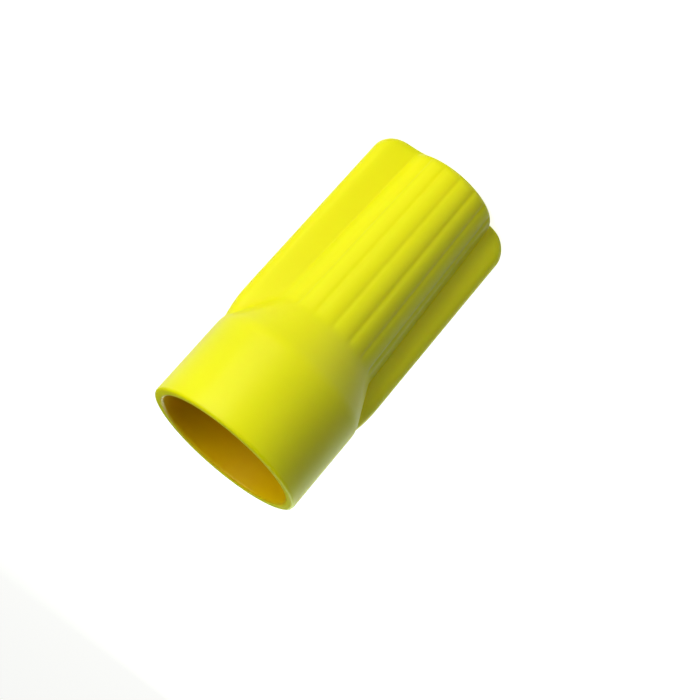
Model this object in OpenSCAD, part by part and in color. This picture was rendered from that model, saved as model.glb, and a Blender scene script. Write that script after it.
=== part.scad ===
// Winged twist-on wire connector: a moulded shell with a tapered coil of square
// steel wire pressed into it. It stands on its closed end, on the XY plane, with
// +Z running up the axis to the open mouth and the two wings along +X and -X.
// Each wing has a round outer edge, one steep face that runs straight in to the
// barrel and one face that slopes back to it, the same way round on both wings.

/* [Skirt] */
// Length of the connector, from the closed end to the mouth
shell_len = 27.8; // [27:0.1:29]
// Outside diameter at the mouth
mouth_d = 13.6; // [13.2:0.1:14.2]
// Outside diameter of the skirt where the shoulder starts
skirt_foot_d = 13.46; // [13:0.02:13.6]
// Height of the skirt
skirt_h = 7.65; // [7:0.05:8.6]
// Diameter of the straight bore inside the skirt
bore_d = 11.9; // [11.2:0.1:12.2]
// Depth of the straight bore
bore_depth = 7.2; // [6.6:0.1:7.6]
// Rounding of the mouth's two edges
lip_round = 0.25; // [0.1:0.05:0.4]

/* [Barrel] */
// Height of the conical shoulder
shoulder_h = 3.6; // [3:0.1:4]
// Outside diameter at the foot of the shoulder
barrel_d = 10.12; // [9.9:0.02:10.4]
// Outside diameter at the closed end
end_d = 8.68; // [8.6:0.02:9]
// Rounding of the closed end's edge
end_round = 0.6; // [0.3:0.1:0.8]
// Thickness of the closed end's wall
end_wall = 1.6; // [1.2:0.1:2]

/* [Flutes] */
// Number of flutes on each side, between the wings
flute_count = 6; // [2:1:6]
// Turn from one flute to the next
flute_step = 20; // [16:1:20]
// Turn from a wing back to the middle of the flutes
flute_mid = 90; // [86:1:94]
// Width of a flute
flute_w = 0.56; // [0.4:0.02:0.56]
// Depth of a flute
flute_depth = 0.14; // [0.08:0.02:0.2]

/* [Wings] */
// Width over both wings, where they are widest
wing_span = 14.02; // [13.9:0.02:14.3]
// Width over both wings at the closed end
wing_end_span = 13.64; // [13.2:0.02:13.8]
// Thickness of a wing at its edge
wing_t = 2; // [1.6:0.1:2]
// Angle between the sloping face of a wing and its steep face
wing_slope = 20; // [12:1:24]
// Corner rounding of a wing at the closed end
wing_round = 1.85; // [1.5:0.05:2.5]
// Radius of the curve that brings a wing's edge in to the skirt
wing_sweep = 12; // [10:1:12]

/* [Spring] */
// Side of the square wire
wire_side = 1; // [0.8:0.05:1]
// Rise of the coil in one turn
coil_pitch = 1.45; // [1.45:0.05:1.8]
// Number of turns
coil_turns = 10.25; // [6:0.25:10.25]
// Diameter of the tapered pocket at its wide end
pocket_d = 7.9; // [7.6:0.1:8]
// Diameter of the tapered pocket at its floor
pocket_end_d = 5.6; // [5.4:0.1:5.8]
// How far the wire's outer corner bites into the pocket's wall
bite = 0.06; // [0.02:0.01:0.1]

/* [Hidden] */
$fn = 96;
cut = 1;
mouth_r = mouth_d / 2;
skirt_foot_r = skirt_foot_d / 2;
bore_r = bore_d / 2;
barrel_r = barrel_d / 2;
end_r = end_d / 2;
skirt_z = shell_len - skirt_h;
shoulder_z = skirt_z - shoulder_h;
bore_z = shell_len - bore_depth;
lip_z = shell_len - lip_round;
barrel_taper = atan((barrel_r - end_r) / (shoulder_z - end_round));
wing_r = wing_span / 2;
wing_end_r = wing_end_span / 2;
tip_r = wing_t / 2;
tip_x = wing_r - tip_r;
// Where a wing's faces stop, inside the barrel's wall
root_x = 3;
root_y = tip_r / cos(wing_slope) + (tip_x - root_x) * tan(wing_slope);
// Height at which a wing's edge starts to curve in
sweep_z = skirt_z - 2.8;
pocket_r = pocket_d / 2;
pocket_end_r = pocket_end_d / 2;
pocket_z = bore_z - 2.4;
wire_reach = wire_side / sqrt(2);
coil_z = end_wall + wire_reach + 0.05;
coil_steps = 24;
coil_rings = round(coil_turns * coil_steps);
yellow = [0.9, 0.9, 0.1];
steel = [0.7, 0.72, 0.74];

// Radius of the tapered pocket at height z
function pocket_at(z) =
    pocket_end_r + (pocket_r - pocket_end_r) * (z - end_wall) / (pocket_z - end_wall);

// Outside of the shell without its wings, as radius and height
module outer_outline() {
    polygon([
        [0, 0], [end_r - end_round, 0], [end_r, end_round], [barrel_r, shoulder_z],
        [skirt_foot_r, skirt_z], [mouth_r, lip_z], [0, lip_z]
    ]);
    translate([end_r - end_round, end_round]) circle(end_round);
    translate([mouth_r - lip_round, lip_z]) circle(lip_round);
    translate([0, lip_z]) square([mouth_r - lip_round, lip_round]);
}

// Space inside the shell: the spring's pocket, its lead-in and the straight bore
module inner_outline() {
    polygon([
        [0, end_wall], [pocket_end_r, end_wall], [pocket_r, pocket_z], [bore_r, bore_z],
        [bore_r, shell_len + cut], [0, shell_len + cut]
    ]);
}

// Rounds the inner edge of the mouth: the corner outside a circle
module lip_corner() {
    difference() {
        translate([bore_r - lip_round, lip_z]) square([2 * lip_round, lip_round + cut]);
        translate([bore_r + lip_round, lip_z]) circle(lip_round);
    }
}

// One wing, from the axis out to its edge, as distance and height
module wing_outline() {
    polygon([
        [0, 0], [wing_end_r - wing_round, 0], [wing_end_r, wing_round], [wing_r, sweep_z], [0, sweep_z]
    ]);
    translate([wing_end_r - wing_round, wing_round]) circle(wing_round);
    intersection() {
        translate([0, sweep_z]) square([wing_r, skirt_z - sweep_z]);
        translate([wing_r - wing_sweep, sweep_z]) circle(wing_sweep);
    }
}

// Section of the wing along +X: a steep face on its +Y side, a round edge and a slope
module wing_section() {
    slope_x = tip_x + tip_r * sin(wing_slope);
    slope_y = tip_r * cos(wing_slope);
    polygon([[root_x, -root_y], [slope_x, -slope_y], [tip_x, tip_r], [root_x, tip_r]]);
    translate([tip_x, 0]) circle(tip_r);
}

module wings() {
    for (side = [0, 180])
        rotate([0, 0, side]) intersection() {
            linear_extrude(skirt_z) wing_section();
            rotate([90, 0, 0]) linear_extrude(wing_span, center = true) wing_outline();
        }
}

// Shallow grooves along the barrel, in one group on each side of the wings
module flutes() {
    for (side = [0, 180], i = [0 : flute_count - 1])
        rotate([0, 0, side - flute_mid + (i - (flute_count - 1) / 2) * flute_step])
            translate([end_r - flute_depth, -flute_w / 2, end_round])
                rotate([0, barrel_taper, 0])
                    translate([0, 0, -2 * end_round])
                        cube([cut, flute_w, shoulder_z + end_round]);
}

module shell() {
    color(yellow) difference() {
        union() {
            difference() {
                rotate_extrude() outer_outline();
                flutes();
            }
            wings();
        }
        rotate_extrude() inner_outline();
        rotate_extrude() lip_corner();
    }
}

// Four corners of the square wire after i steps round the coil, one corner inward
function wire_ring(i) =
    let (
        turn = 360 * i / coil_steps,
        z = coil_z + coil_pitch * i / coil_steps,
        r = pocket_at(z) + bite - wire_reach
    )
    [for (c = [0 : 3])
        let (reach = r + wire_reach * cos(90 * c))
        [reach * cos(turn), reach * sin(turn), z + wire_reach * sin(90 * c)]];

module spring() {
    points = [for (i = [0 : coil_rings]) each wire_ring(i)];
    sides = [for (i = [0 : coil_rings - 1], c = [0 : 3])
        [4 * i + c, 4 * i + 4 + c, 4 * i + 4 + (c + 1) % 4, 4 * i + (c + 1) % 4]];
    tail = 4 * coil_rings;
    ends = [[0, 1, 2, 3], [tail + 3, tail + 2, tail + 1, tail]];
    color(steel) polyhedron(points, concat(sides, ends));
}

shell();
spring();
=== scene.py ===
import math
import bpy
import bmesh
from mathutils import Matrix, Vector


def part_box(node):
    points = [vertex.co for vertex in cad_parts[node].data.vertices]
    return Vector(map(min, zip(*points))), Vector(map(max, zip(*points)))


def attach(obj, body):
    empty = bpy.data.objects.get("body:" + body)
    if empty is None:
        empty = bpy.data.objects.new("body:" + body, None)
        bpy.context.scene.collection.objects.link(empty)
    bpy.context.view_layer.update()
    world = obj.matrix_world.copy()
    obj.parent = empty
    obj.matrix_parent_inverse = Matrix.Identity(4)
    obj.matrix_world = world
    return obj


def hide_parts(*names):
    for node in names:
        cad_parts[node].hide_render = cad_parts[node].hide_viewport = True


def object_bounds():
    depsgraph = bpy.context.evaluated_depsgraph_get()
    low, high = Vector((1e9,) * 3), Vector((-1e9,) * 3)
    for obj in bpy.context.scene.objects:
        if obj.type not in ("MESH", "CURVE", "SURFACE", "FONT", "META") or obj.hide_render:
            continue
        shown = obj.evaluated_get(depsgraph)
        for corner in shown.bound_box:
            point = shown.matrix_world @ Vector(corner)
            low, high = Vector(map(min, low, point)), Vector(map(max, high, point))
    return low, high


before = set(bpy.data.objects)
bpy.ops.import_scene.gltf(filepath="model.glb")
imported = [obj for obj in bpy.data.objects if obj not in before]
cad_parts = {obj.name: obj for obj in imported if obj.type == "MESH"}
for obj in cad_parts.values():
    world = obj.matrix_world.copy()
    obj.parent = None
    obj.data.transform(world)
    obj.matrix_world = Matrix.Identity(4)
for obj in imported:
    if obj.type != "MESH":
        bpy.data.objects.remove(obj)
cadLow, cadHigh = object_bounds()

mm = 0.001
shellLow, shellHigh = (Vector(corner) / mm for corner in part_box("shell"))
springLow = Vector(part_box("spring")[0]) / mm


# Small helpers

def softMin(a, b, reach):  # the smaller of two, rounded where they cross
    near = max(reach - abs(a - b), 0.0) / reach
    return min(a, b) - near * near * reach / 4


def softMax(a, b, reach):
    return -softMin(-a, -b, reach)


def mix(a, b, share):
    return a + (b - a) * share


def ease(value):  # 0 to 1, flat at both ends
    value = min(max(value, 0.0), 1.0)
    return value * value * (3 - 2 * value)


def polar(radius, turn):
    return Vector((radius * math.cos(turn), radius * math.sin(turn)))


def bend(start, corner, end, steps):  # a quadratic curve that rounds a corner, both ends included
    points = []
    for i in range(steps + 1):
        t = i / steps
        points.append(start * (1 - t) ** 2 + corner * 2 * t * (1 - t) + end * t * t)
    return points


def hexColor(code, alpha=1.0):  # sRGB hex to linear
    values = [int(code[i:i + 2], 16) / 255 for i in (1, 3, 5)]
    return [v / 12.92 if v <= 0.04045 else ((v + 0.055) / 1.055) ** 2.4 for v in values] + [alpha]


def addNode(tree, kind, inputs=None, **settings):  # a node with its settings, values and links
    node = tree.nodes.new(kind)
    for name, value in settings.items():
        setattr(node, name, value)
    for name, value in (inputs or {}).items():
        if isinstance(value, bpy.types.NodeSocket):
            tree.links.new(value, node.inputs[name])
        else:
            node.inputs[name].default_value = value
    return node


def newMaterial(name):
    material = bpy.data.materials.new(name)
    material.use_nodes = True
    material.node_tree.nodes.clear()
    return material, material.node_tree


def finishPiece(name, bm, material):  # millimetres to metres, mesh, shading and material
    bmesh.ops.remove_doubles(bm, verts=bm.verts, dist=0.0005)
    bmesh.ops.recalc_face_normals(bm, faces=bm.faces)
    bmesh.ops.scale(bm, vec=(mm, mm, mm), verts=bm.verts)
    mesh = bpy.data.meshes.new(name)
    bm.to_mesh(mesh)
    bm.free()
    mesh.shade_smooth()
    mesh.materials.append(material)
    piece = bpy.data.objects.new(name, mesh)
    bpy.context.scene.collection.objects.link(piece)
    normals = piece.modifiers.new("flatFacesFirst", "WEIGHTED_NORMAL")
    normals.weight = 50
    return piece


# Shell: skirt, shoulder, fluted barrel, closed end and two wings

shell = {
    "length": shellHigh.z,
    "mouthRadius": shellHigh.y,
    "wingRadius": shellHigh.x,
    "skirtFootRadius": 6.73,
    "skirtHeight": 7.65,
    "skirtFootSoftness": 0.18,
    "boreRadius": 5.95,
    "boreDepth": 7.2,
    "lipRound": 0.25,
    "shoulderHeight": 3.6,
    "shoulderSoftness": 0.12,
    "barrelRadius": 5.06,
    "endRadius": 4.34,
    "endRound": 0.6,
    "endWall": 1.6,
    "pocketRadius": 3.95,
    "pocketEndRadius": 2.8,
    "leadIn": 2.4,
    "flutes": 6,
    "fluteStep": 20,                    # degrees
    "fluteTurn": -90,                   # middle of the flutes that face -Y, in degrees
    "fluteDepth": 0.14,
    "wingEndRadius": 6.82,
    "wingCorner": 1.85,
    "wingSweep": 12,
    "wingSweepDrop": 2.8,
    "wingEdgeRadius": 1.0,
    "wingEndRound": 0.3,
    "wingRootTurn": 20,                 # degrees from the X axis at which the sloping face meets the barrel
    "wingZone": 32,                     # degrees either side of a wing that hold no flute
    "blendZone": 50,                    # degrees from a wing beyond which it leaves the barrel alone
    "blendFade": (36, 12),  # where the crease's softness starts to fade, and over how many degrees
}
shoulderTop = shell["length"] - shell["skirtHeight"]
shoulderFoot = shoulderTop - shell["shoulderHeight"]
boreFloor = shell["length"] - shell["boreDepth"]
sweepStart = shoulderTop - shell["wingSweepDrop"]

# One flute, from its middle to the top of the rib beside it: degrees, and share of its depth
fluteShape = [(0, 1), (0.8, 0.93), (1.6, 0.76), (2.4, 0.53), (3.2, 0.35), (4.2, 0.22), (6, 0.1),
              (8, 0.025), (10, 0)]


def roundOff(z, radius):  # how far a rounded edge has drawn in, at height z above the closed end
    if z >= radius:
        return 0.0
    return radius - math.sqrt(radius ** 2 - (radius - z) ** 2)


def barrelLine(z):
    rise = (z - shell["endRound"]) / (shoulderFoot - shell["endRound"])
    return mix(shell["endRadius"], shell["barrelRadius"], rise)


def coneLine(z):
    return mix(shell["barrelRadius"], shell["skirtFootRadius"], (z - shoulderFoot) / shell["shoulderHeight"])


def ribRadius(z):  # outside of the shell between the flutes, wings left out
    lip = shell["length"] - shell["lipRound"]
    skirt = mix(shell["skirtFootRadius"], shell["mouthRadius"], (z - shoulderTop) / (lip - shoulderTop))
    body = softMax(barrelLine(z), coneLine(z), shell["shoulderSoftness"])
    return softMin(body, skirt, shell["skirtFootSoftness"]) - roundOff(z, shell["endRound"])


def fluteCut(z):  # depth of a flute, fading out at the shoulder and at the closed end
    floor = softMax(barrelLine(z) - shell["fluteDepth"], coneLine(z), shell["shoulderSoftness"])
    cut = max(ribRadius(z) - floor, 0.0)
    return cut * cut / (cut + 0.03)


def fluteShare(turn):  # how deep a flute is at a turn, as a share: the nearest flute's shape
    middle = shell["fluteTurn"] + 180 - (shell["flutes"] - 1) / 2 * shell["fluteStep"]
    offset = abs((turn - middle + shell["fluteStep"] / 2) % shell["fluteStep"] - shell["fluteStep"] / 2)
    for (low, lowShare), (high, highShare) in zip(fluteShape, fluteShape[1:]):
        if offset <= high:
            return mix(lowShare, highShare, (offset - low) / (high - low))
    return 0.0


def wingReach(z):  # distance from the axis to a wing's outer edge
    corner, top = shell["wingCorner"], shell["wingEndRadius"]
    if z < corner:
        return top - roundOff(z, corner)
    if z < sweepStart:
        return mix(top, shell["wingRadius"], (z - corner) / (sweepStart - corner))
    sweep = shell["wingSweep"]
    return shell["wingRadius"] - sweep + math.sqrt(max(sweep ** 2 - (z - sweepStart) ** 2, 0.0))


# A wing in plan: its round edge's middle and radius, one face's slope and that face's distance from the axis
def wingPlan(z, steep):
    inset = roundOff(z, shell["wingEndRound"])
    edge = max(shell["wingEdgeRadius"] - inset, 0.05)
    middle = wingReach(z) - edge
    if steep:
        return middle, edge, 0.0, edge
    barrel = barrelLine(min(z, shoulderFoot))
    root = polar(barrel, math.radians(shell["wingRootTurn"])) - Vector((0, inset))
    inward = Vector((middle - root.x, root.y))
    slope = math.atan2(inward.y, inward.x) - math.asin(edge / inward.length)
    return middle, edge, slope, middle * math.sin(slope) + edge


def outlineRadius(z, turn, steep):  # the outside at a turn in degrees from the nearer wing, flutes left out
    rib = ribRadius(z)
    if turn > shell["blendZone"]:
        return rib
    middle, edge, slope, away = wingPlan(z, steep)
    turn = math.radians(turn)
    if turn < math.atan2(edge * math.cos(slope), middle + edge * math.sin(slope)):
        wing = middle * math.cos(turn) + math.sqrt(max(edge ** 2 - (middle * math.sin(turn)) ** 2, 0.0))
    else:
        wing = away / math.sin(turn + slope)
    reach = 0.1 if steep else 0.12 + 0.3 * ease((z - 12) / 5)
    fadeStart, fadeWidth = shell["blendFade"]
    fade = 1 - ease((math.degrees(turn) - fadeStart) / fadeWidth)
    reach = min(reach, 0.1 + max(wingReach(z) - rib, 0.0)) * fade
    return softMax(rib, wing, max(reach, 0.001))


def wingTurns(z, steep):  # turns at which a wing is sampled, from the middle of its edge to past its root
    middle, edge, slope, away = wingPlan(z, steep)
    low = math.degrees(math.atan2(edge * math.cos(slope), middle + edge * math.sin(slope)))
    high = math.degrees(math.asin(min(away / ribRadius(z), 1.0)) - slope)
    high = max(high, low + 1.5, 5)
    turns = [low * share for share in (0, 0.25, 0.5, 0.72, 0.88, 1)]
    turns += [mix(low, high, share) for share in (0.12, 0.28, 0.46, 0.64, 0.8, 0.9, 0.96, 1)]
    turns += [high + past for past in (0.6, 1.3, 2.2, 3.2)]
    return turns + [mix(high + 3.2, shell["wingZone"], share) for share in (0.35, 0.7)]


def halfOutline(z):  # from the middle of the +X wing's edge, over +Y, to the middle of the -X wing's edge
    steepTurns, slopingTurns = wingTurns(z, True), wingTurns(z, False)
    first = shell["fluteTurn"] + 180 - (shell["flutes"] - 1) / 2 * shell["fluteStep"]
    sides = sorted({sign * offset for offset, _ in fluteShape for sign in (-1, 1)})
    middles = [first + i * shell["fluteStep"] for i in range(-1, shell["flutes"] + 1)]
    barrel = sorted({middle + side for middle in middles for side in sides})
    low, high = shell["wingZone"], 180 - shell["wingZone"]
    turns = steepTurns + [turn for turn in barrel if low < turn < high]
    turns += [180 - turn for turn in reversed(slopingTurns)]
    cut = fluteCut(z)
    points = []
    for turn in turns:
        radius = outlineRadius(z, min(turn, 180 - turn), turn < 90)
        if low < turn < high:
            radius -= cut * fluteShare(turn)
        points.append(polar(radius, math.radians(turn)))
    return points[:-1]


def outline(z):  # the whole ring; above the wings its points slide round to an even spacing
    half = halfOutline(z)
    ring = half + [-point for point in half]
    spread = ease((z - shoulderTop) / 1.5)
    if spread > 0:
        radius, start = ribRadius(z), math.atan2(ring[0].y, ring[0].x)
        for i, point in enumerate(ring):
            turn = (math.atan2(point.y, point.x) - start) % (2 * math.pi)
            ring[i] = polar(radius, start + mix(turn, 2 * math.pi * i / len(ring), spread))
    return [point.to_3d() + Vector((0, 0, z)) for point in ring]


def arcHeights(radius, steps):  # heights up a rounded edge, closest together where it turns fastest
    return [radius * (1 - math.cos(math.pi / 2 * i / steps)) for i in range(steps + 1)]


def shellHeights():
    heights = arcHeights(shell["endRound"], 9)
    stretches = [(shell["wingCorner"], 8), (5.0, 5), (shoulderFoot - 1.2, 8), (shoulderFoot + 0.5, 10),
                 (shoulderTop - 1.2, 8), (shoulderTop - 0.02, 12), (shoulderTop + 0.8, 6),
                 (shoulderTop + 1.5, 3), (shell["length"] - shell["lipRound"], 4)]
    for top, steps in stretches:
        low = heights[-1]
        heights += [mix(low, top, i / steps) for i in range(1, steps + 1)]
    return heights


def roundedPath(corners):  # a path of straight stretches, each corner given with how far it is rounded
    path = []
    for (before, _), (corner, reach), (after, _) in zip(corners, corners[1:], corners[2:]):
        corner, before, after = Vector(corner), Vector(before), Vector(after)
        start = corner + (before - corner).normalized() * reach
        end = corner + (after - corner).normalized() * reach
        path += bend(start, corner, end, 5)
    return path


def insidePath():  # radius and height, from the mouth's outer edge down to the pocket's floor
    top, lip = shell["length"], shell["lipRound"]
    corners = [((shell["mouthRadius"], top - 1), 0), ((shell["mouthRadius"], top), lip),
               ((shell["boreRadius"], top), lip), ((shell["boreRadius"], boreFloor), 0.4),
               ((shell["pocketRadius"], boreFloor - shell["leadIn"]), 0.4),
               ((shell["pocketEndRadius"], shell["endWall"]), 0.3), ((0.5, shell["endWall"]), 0)]
    return roundedPath(corners)[1:] + [Vector((1.0, shell["endWall"]))]


def nextRing(bm, ring, seat, places):  # extrudes a ring of edges and seats each new point in its place
    made = bmesh.ops.extrude_edge_only(bm, edges=ring)["geom"]
    points = {item for item in made if isinstance(item, bmesh.types.BMVert)}
    for point in points:
        point.co = places[point[seat]]
    return [item for item in made if isinstance(item, bmesh.types.BMEdge) and set(item.verts) <= points]


def buildShell(material):
    bm = bmesh.new()
    seat = bm.verts.layers.int.new("seat")
    heights = shellHeights()
    first = outline(heights[0])
    made = bmesh.ops.create_circle(bm, segments=len(first), radius=1)["verts"]
    for i, point in enumerate(made):
        point[seat] = i
        point.co = first[i]
    startRing = bm.edges[:]
    ring = startRing
    for z in heights[1:]:
        ring = nextRing(bm, ring, seat, outline(z))
    turns = [math.atan2(point.y, point.x) for point in outline(heights[-1])]
    for radius, z in insidePath():
        ring = nextRing(bm, ring, seat, [polar(radius, turn).to_3d() + Vector((0, 0, z)) for turn in turns])
    bmesh.ops.contextual_create(bm, geom=ring)
    cap = nextRing(bm, startRing, seat, [Vector((p.x * 0.97, p.y * 0.97, p.z)) for p in first])
    bmesh.ops.contextual_create(bm, geom=cap)
    return finishPiece("mouldedShell", bm, material)


# Spring: square wire wound into a cone, one corner of the wire facing inward

spring = {
    "wireSide": 1.0,
    "wireRound": 0.1,
    "turns": 10.25,
    "pitch": 1.45,
    "stepsPerTurn": 48,
    "bite": 0.05,
}


def pocketAt(z):
    pocketTop = boreFloor - shell["leadIn"]
    rise = (z - shell["endWall"]) / (pocketTop - shell["endWall"])
    return mix(shell["pocketEndRadius"], shell["pocketRadius"], rise)


def buildSpring(material):
    bm = bmesh.new()
    reach = spring["wireSide"] / math.sqrt(2)
    bmesh.ops.create_circle(bm, segments=4, radius=reach, cap_ends=True)
    bmesh.ops.bevel(bm, geom=bm.verts[:], offset=spring["wireRound"], affect="VERTICES", segments=3,
                    profile=0.5, material=-1)
    low = springLow.z + reach
    bmesh.ops.rotate(bm, verts=bm.verts, matrix=Matrix.Rotation(math.pi / 2, 3, "X"))
    bmesh.ops.translate(bm, verts=bm.verts, vec=(pocketAt(low) + spring["bite"] - reach, 0, low))
    steps = round(spring["turns"] * spring["stepsPerTurn"])
    bmesh.ops.spin(bm, geom=bm.verts[:] + bm.edges[:] + bm.faces[:], axis=(0, 0, 1), cent=(0, 0, 0),
                   dvec=(0, 0, spring["pitch"] / spring["stepsPerTurn"]),
                   angle=2 * math.pi * spring["turns"], steps=steps)
    for point in bm.verts:  # the pocket's taper opens the coil as it rises
        flat = point.co.xy
        wider = flat.length + pocketAt(point.co.z) - pocketAt(low)
        point.co.xy = flat.normalized() * wider
    return finishPiece("coiledSpring", bm, material)


# Materials

def mouldedPolypropylene():
    # Polypropylene, injection-moulded in a polished and lightly blasted tool: an even, saturated yellow
    # with a soft broad highlight, a barely uneven gloss and a faint waviness where the thick parts sank.
    # Light spreads a little way into it, so thin parts glow; inside the skirt the base colour is painted
    # deeper as painted shade.
    material, tree = newMaterial("mouldedPolypropylene")
    place = addNode(tree, "ShaderNodeTexCoord").outputs["Object"]
    cloud = addNode(tree, "ShaderNodeTexNoise", {"Vector": place, "Scale": 1 / (6 * mm), "Detail": 3.0})
    grain = addNode(tree, "ShaderNodeTexNoise", {"Vector": place, "Scale": 1 / (0.18 * mm), "Detail": 2.0})
    wave = addNode(tree, "ShaderNodeTexNoise", {"Vector": place, "Scale": 1 / (2.6 * mm), "Detail": 1.0})
    outer = addNode(tree, "ShaderNodeMix", {"Factor": cloud.outputs["Fac"], "A": hexColor("#F5F000"),
                                            "B": hexColor("#F2EA00")}, data_type="RGBA")
    parts = addNode(tree, "ShaderNodeSeparateXYZ", {"Vector": place})
    flat = addNode(tree, "ShaderNodeCombineXYZ", {"X": parts.outputs["X"], "Y": parts.outputs["Y"]})
    radius = addNode(tree, "ShaderNodeVectorMath", {"Vector": flat.outputs["Vector"]}, operation="LENGTH")
    # Painted shade: the bore's inner wall inside the skirt gets a deeper orange-yellow base colour for the
    # shade and inter-reflected light in there.
    within = addNode(tree, "ShaderNodeMapRange", {
        "Value": radius.outputs["Value"], "From Min": 6.2 * mm, "From Max": 6.05 * mm})
    above = addNode(tree, "ShaderNodeMapRange", {
        "Value": parts.outputs["Z"], "From Min": 20.2 * mm, "From Max": 20.7 * mm})
    paintedInsideShade = addNode(tree, "ShaderNodeMath", {0: within.outputs["Result"], 1: above.outputs["Result"]},
                     operation="MULTIPLY")
    tone = addNode(tree, "ShaderNodeMix", {"Factor": paintedInsideShade.outputs["Value"], "A": outer.outputs["Result"],
                                           "B": hexColor("#D8B400")}, data_type="RGBA")
    gloss = addNode(tree, "ShaderNodeMapRange", {
        "Value": cloud.outputs["Fac"], "To Min": 0.34, "To Max": 0.42})
    sink = addNode(tree, "ShaderNodeBump", {"Height": wave.outputs["Fac"], "Strength": 0.25,
                                            "Distance": 0.03 * mm})
    skin = addNode(tree, "ShaderNodeBump", {"Height": grain.outputs["Fac"], "Strength": 0.2,
                                            "Distance": 0.01 * mm, "Normal": sink.outputs["Normal"]})
    plastic = addNode(tree, "ShaderNodeBsdfPrincipled", {
        "Base Color": tone.outputs["Result"], "Roughness": gloss.outputs["Result"],
        "Normal": skin.outputs["Normal"], "IOR": 1.49, "Specular IOR Level": 0.14,
        "Subsurface Weight": 0.85, "Subsurface Radius": (1.0, 0.85, 0.1), "Subsurface Scale": 1.8 * mm})
    addNode(tree, "ShaderNodeOutputMaterial", {"Surface": plastic.outputs["BSDF"]})
    return material


def drawnSpringSteel():
    # Zinc-plated carbon steel wire, drawn square: bright grey with fine lines along the wire.
    material, tree = newMaterial("drawnSpringSteel")
    place = addNode(tree, "ShaderNodeTexCoord").outputs["Object"]
    parts = addNode(tree, "ShaderNodeSeparateXYZ", {"Vector": place})
    flat = addNode(tree, "ShaderNodeCombineXYZ", {"X": parts.outputs["X"], "Y": parts.outputs["Y"]})
    radius = addNode(tree, "ShaderNodeVectorMath", {"Vector": flat.outputs["Vector"]}, operation="LENGTH")
    across = addNode(tree, "ShaderNodeCombineXYZ", {"X": radius.outputs["Value"], "Y": parts.outputs["Z"]})
    lines = addNode(tree, "ShaderNodeTexNoise", {
        "Vector": across.outputs["Vector"], "Scale": 1 / (0.12 * mm), "Detail": 3.0})
    tone = addNode(tree, "ShaderNodeMix", {"Factor": lines.outputs["Fac"], "A": hexColor("#9FA2A4"),
                                           "B": hexColor("#C9CBCC")}, data_type="RGBA")
    gloss = addNode(tree, "ShaderNodeMapRange", {
        "Value": lines.outputs["Fac"], "To Min": 0.24, "To Max": 0.4})
    drawn = addNode(tree, "ShaderNodeBump", {"Height": lines.outputs["Fac"], "Strength": 0.35,
                                             "Distance": 0.01 * mm})
    steel = addNode(tree, "ShaderNodeBsdfPrincipled", {
        "Base Color": tone.outputs["Result"], "Roughness": gloss.outputs["Result"],
        "Normal": drawn.outputs["Normal"], "Metallic": 1.0})
    addNode(tree, "ShaderNodeOutputMaterial", {"Surface": steel.outputs["BSDF"]})
    return material


shellPiece = buildShell(mouldedPolypropylene())
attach(shellPiece, "root")
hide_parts("shell")
print("shell built:", len(shellPiece.data.polygons), "faces")

springPiece = buildSpring(drawnSpringSteel())
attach(springPiece, "root")
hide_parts("spring")
print("spring built:", len(springPiece.data.polygons), "faces")


# Stage: pale floor, soft light and camera

stage = {
    "floorSide": 4.0,
    "floorColor": "#F4F4F2",
    "floorGlow": 0.95,
    "worldColor": "#DFE9E6",
    "worldLight": 0.09,
    "keyTurn": 58.4,
    "keyRise": 8.0,
    "keyDistance": 0.32,
    "keySide": 0.26,
    "keyPower": 1.12,
    "bounceTurn": -16.0,
    "bounceRise": -50.0,
    "bounceSide": 0.3,
    "bouncePower": 0.2,
    "bounceColor": "#EEF6E8",
    "backTurn": 222.0,
    "backRise": 12.0,
    "backPower": 0.7,
    "backColor": "#E9FFD8",
    "mouthTurn": 20.0,
    "mouthRise": 62.0,
    "mouthPower": 0.16,
}
photo = {
    "turn": 11.5,
    "rise": 17.304,
    "distance": 170 * mm,
    "lens": 113.69,
    "roll": -139.281,
    "aim": (-2.302 * mm, 1.351 * mm),
}
centre = Vector((0, 0, (cadLow[2] + cadHigh[2]) / 2))


def fromSide(turn, rise):  # direction from the object towards a place beside it, in degrees
    turn, rise = math.radians(turn), math.radians(rise)
    return Vector((math.sin(turn) * math.cos(rise), -math.cos(turn) * math.cos(rise), math.sin(rise)))


def buildFloor():
    bm = bmesh.new()
    bmesh.ops.create_grid(bm, x_segments=4, y_segments=4, size=stage["floorSide"] / 2)
    mesh = bpy.data.meshes.new("paleFloor")
    bm.to_mesh(mesh)
    bm.free()
    floor = bpy.data.objects.new("paleFloor", mesh)
    bpy.context.scene.collection.objects.link(floor)
    floor.location.z = cadLow[2]
    # Opal acrylic sheet lit from behind: an even white ground with hardly a shadow.
    material, tree = newMaterial("backlitAcrylic")
    sheet = addNode(tree, "ShaderNodeBsdfPrincipled", {
        "Base Color": hexColor(stage["floorColor"]), "Roughness": 0.9, "Specular IOR Level": 0.1,
        "Emission Color": hexColor(stage["floorColor"]), "Emission Strength": stage["floorGlow"]})
    addNode(tree, "ShaderNodeOutputMaterial", {"Surface": sheet.outputs["BSDF"]})
    mesh.materials.append(material)
    floor.visible_shadow = False
    floor.visible_diffuse = False


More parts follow.
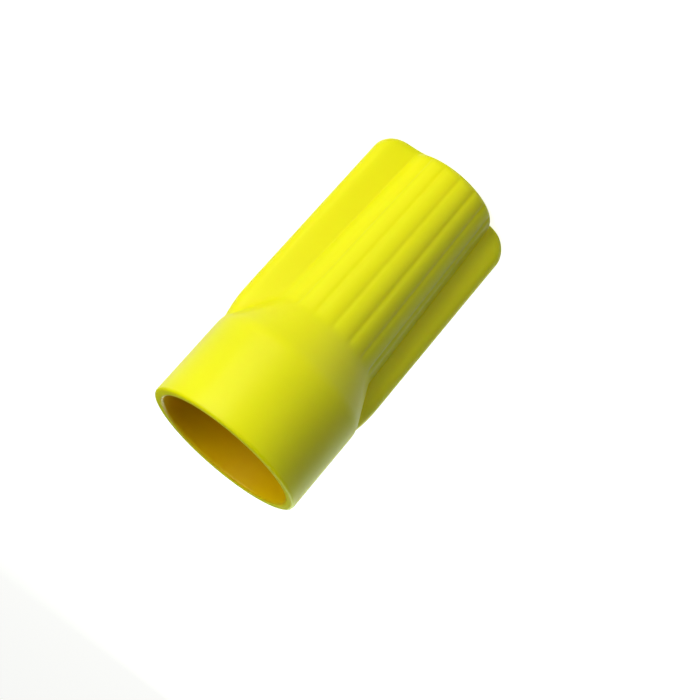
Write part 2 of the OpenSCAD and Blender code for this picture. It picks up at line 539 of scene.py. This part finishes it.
def addSoftbox(name, turn, rise, distance, side, power, color="#FFFFFF"):
    light = bpy.data.lights.new(name, "AREA")
    light.shape, light.size, light.energy = "SQUARE", side, power
    light.color = hexColor(color)[:3]
    lamp = bpy.data.objects.new(name, light)
    away = fromSide(turn, rise)
    lamp.location = centre + away * distance
    lamp.rotation_euler = away.to_track_quat("Z", "Y").to_euler()
    bpy.context.scene.collection.objects.link(lamp)


def setCamera():
    data = bpy.data.cameras.new("camera")
    data.lens, data.sensor_width, data.clip_start = photo["lens"], 36, 0.01
    camera = bpy.data.objects.new("camera", data)
    away = fromSide(photo["turn"], photo["rise"])
    right = Vector((math.cos(math.radians(photo["turn"])), math.sin(math.radians(photo["turn"])), 0))
    up = away.cross(right)
    place = centre + away * photo["distance"]
    target = centre + right * photo["aim"][0] + up * photo["aim"][1]
    back = (place - target).normalized()
    right = Vector((0, 0, 1)).cross(back).normalized()
    level = Matrix((right, back.cross(right), back)).transposed()
    turn = level @ Matrix.Rotation(math.radians(photo["roll"]), 3, "Z")
    camera.matrix_world = Matrix.Translation(place) @ turn.to_4x4()
    bpy.context.scene.collection.objects.link(camera)
    bpy.context.scene.camera = camera


buildFloor()
addSoftbox("keySoftbox", stage["keyTurn"], stage["keyRise"], stage["keyDistance"], stage["keySide"],
           stage["keyPower"])
addSoftbox("floorBounce", stage["bounceTurn"], stage["bounceRise"], stage["keyDistance"],
           stage["bounceSide"], stage["bouncePower"], stage["bounceColor"])
addSoftbox("backSoftbox", stage["backTurn"], stage["backRise"], stage["keyDistance"], stage["keySide"],
           stage["backPower"], stage["backColor"])
addSoftbox("mouthFill", stage["mouthTurn"], stage["mouthRise"], stage["keyDistance"], stage["bounceSide"],
           stage["mouthPower"])
world = bpy.data.worlds.new("studio")
bpy.context.scene.world = world
world.use_nodes = True
world.node_tree.nodes["Background"].inputs["Color"].default_value = hexColor(stage["worldColor"])
world.node_tree.nodes["Background"].inputs["Strength"].default_value = stage["worldLight"]
bpy.context.scene.view_settings.view_transform = "Standard"
setCamera()
print("stage built")
